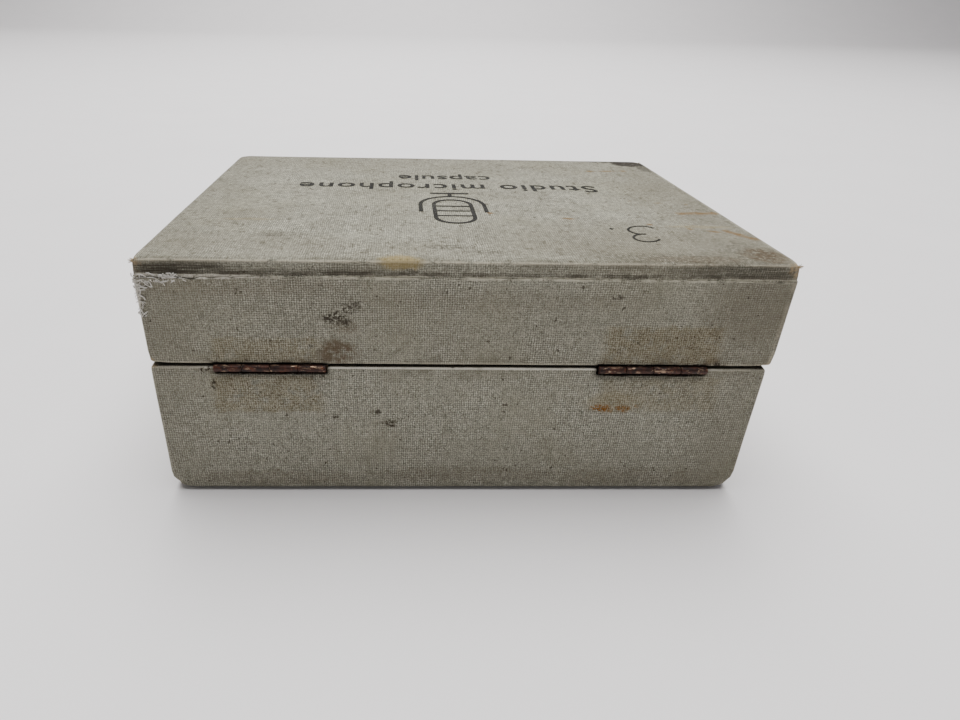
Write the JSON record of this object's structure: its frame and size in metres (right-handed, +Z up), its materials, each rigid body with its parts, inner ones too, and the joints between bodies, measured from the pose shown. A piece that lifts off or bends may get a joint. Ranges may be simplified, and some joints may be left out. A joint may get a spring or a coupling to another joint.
{
  "type": "microphone capsule case",
  "caption": "Small cloth-covered wooden case with a hinged lid and a swing hook, holding a condenser microphone capsule in a fitted recess.",
  "frame": {"origin": "middle of the underside, on the surface that the case stands on", "axes": "+Z up; -Y towards the hook at the front; +Y towards the hinges at the rear; +X to the right as seen from the front"},
  "size_m": [0.1419, 0.1122, 0.0608],
  "materials": {
    "book_cloth": "worn grey-green book cloth with a plain weave, stained and rubbed",
    "wood": "plain softwood and thin board, unfinished",
    "lining": "thin dark red lining cloth",
    "velvet": "dark red velvet, slightly flattened",
    "hinge_steel": "steel browned by rust, rubbed brighter on the knuckles",
    "nickel": "nickel plate, slightly dulled",
    "grille": "nickel-plated wire gauze",
    "housing": "dark grey enamel, satin",
    "bakelite": "dark brown moulded plastic",
    "brass": "turned brass",
    "foil": "gold-coated foil"
  },
  "bodies": {
    "base": {"base_bottom_board": "wood", "base_bottom_cloth": "book_cloth", "base_front_wall": "wood", "base_left_wall": "wood", "base_lining": "lining", "base_rear_wall": "wood", "base_right_wall": "wood", "base_side_cloth": "book_cloth", "capsule_backplate": "brass", "capsule_body_ring": "bakelite", "capsule_post": "bakelite", "contact_pin_1": "brass", "contact_pin_2": "brass", "contact_pin_3": "brass", "grille_basket": "grille", "grip_collar": "nickel", "hook_stud": "nickel", "insert_block": "velvet", "left_hinge_base_leaf": "hinge_steel", "left_hinge_base_nail_1": "hinge_steel", "left_hinge_base_nail_2": "hinge_steel", "left_hinge_pin": "hinge_steel", "lower_clamp_ring": "brass", "lower_diaphragm": "foil", "lower_terminal": "brass", "neck_housing": "housing", "plug_insulator": "bakelite", "right_hinge_base_leaf": "hinge_steel", "right_hinge_base_nail_1": "hinge_steel", "right_hinge_base_nail_2": "hinge_steel", "right_hinge_pin": "hinge_steel", "shoulder_ring": "nickel", "upper_clamp_ring": "brass", "upper_diaphragm": "foil", "upper_terminal": "brass"},
    "lid": {"hook_screw": "nickel", "hook_washer": "nickel", "left_hinge_lid_leaf": "hinge_steel", "left_hinge_lid_nail_1": "hinge_steel", "left_hinge_lid_nail_2": "hinge_steel", "lid_front_wall": "wood", "lid_left_wall": "wood", "lid_lining": "lining", "lid_pad": "velvet", "lid_rear_wall": "wood", "lid_right_wall": "wood", "lid_side_cloth": "book_cloth", "lid_top_board": "wood", "lid_top_cloth": "book_cloth", "right_hinge_lid_leaf": "hinge_steel", "right_hinge_lid_nail_1": "hinge_steel", "right_hinge_lid_nail_2": "hinge_steel"},
    "hook": {"latch_hook": "nickel"}
  },
  "joints": [
    {"name": "lid_hinge", "type": "hinge", "parent": "base", "child": "lid", "pos_m": [0, 0.054, 0.03545], "axis": [-1, 0, 0], "range_deg": [0, 180]},
    {"name": "hook_swing", "type": "hinge", "parent": "lid", "child": "hook", "pos_m": [0, -0.0547, 0.044], "axis": [0, 1, 0], "range_deg": [0, 55]}
  ]
}
